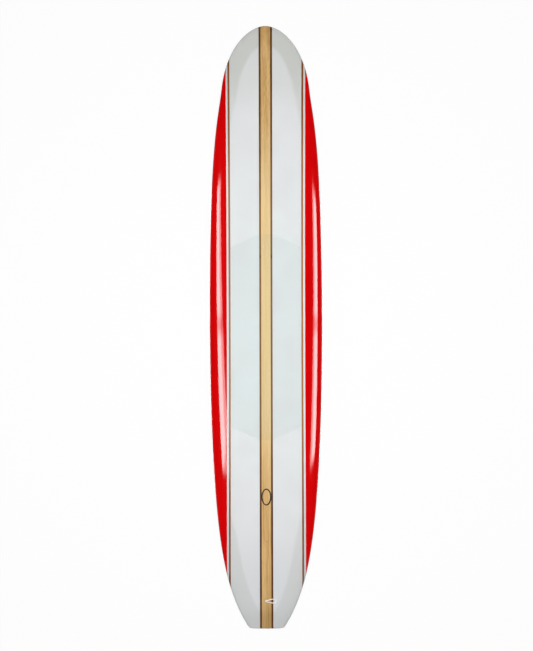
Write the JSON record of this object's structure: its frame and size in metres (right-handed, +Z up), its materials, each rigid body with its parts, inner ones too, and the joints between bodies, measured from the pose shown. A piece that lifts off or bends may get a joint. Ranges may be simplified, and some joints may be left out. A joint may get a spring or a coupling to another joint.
{
  "type": "longboard surfboard",
  "caption": "Longboard surfboard: foam blank with balsa and redwood stringers, glass shell with red rails, a slotted fin box with its sliding plate and screw, and a leash loop.",
  "frame": {"origin": "middle of the footprint, at the height of the lowest point of the bottom; the board lies deck up", "axes": "+Z up out of the deck, +Y along the board towards the nose, +X to the starboard rail"},
  "size_m": [0.578, 2.997, 0.1511],
  "materials": {
    "balsa": "satin",
    "redwood": "satin",
    "stringer_wood": "satin",
    "foam": "matte",
    "clear_glass": "gloss",
    "red_laminate": "gloss",
    "glass_patch": "gloss",
    "box_plastic": "satin",
    "resin": "gloss",
    "steel": "satin",
    "white_cord": "matte",
    "black_ink": "gloss"
  },
  "bodies": {
    "root": {"centre_stringer": "balsa", "redwood_strip_port": "redwood", "redwood_strip_starboard": "redwood", "foam_inner_port": "foam", "foam_inner_starboard": "foam", "offset_stringer_port": "stringer_wood", "offset_stringer_starboard": "stringer_wood", "foam_outer_port": "foam", "foam_outer_starboard": "foam", "deck_glass": "clear_glass", "bottom_glass": "clear_glass", "rail_laminate_port": "red_laminate", "rail_laminate_starboard": "red_laminate", "deck_patch": "glass_patch", "tail_patch": "glass_patch", "fin_box": "box_plastic", "fin_box_bed": "resin", "leash_anchor": "resin", "leash_loop": "white_cord", "deck_sticker": "black_ink", "bottom_sticker": "black_ink"},
    "plate": {"fin_plate": "steel"},
    "screw": {"fin_screw": "steel"}
  },
  "joints": [
    {"name": "plate_slide", "type": "slide", "parent": "root", "child": "plate", "axis": [0, 0.9949, -0.1009], "range_m": [0, 0.2284]},
    {"name": "screw_turn", "type": "hinge", "parent": "plate", "child": "screw", "pos_m": [0, -1.37865, 0.07656], "axis": [0, 0.1009, 0.9949], "range_deg": [-2880, 1080]}
  ]
}
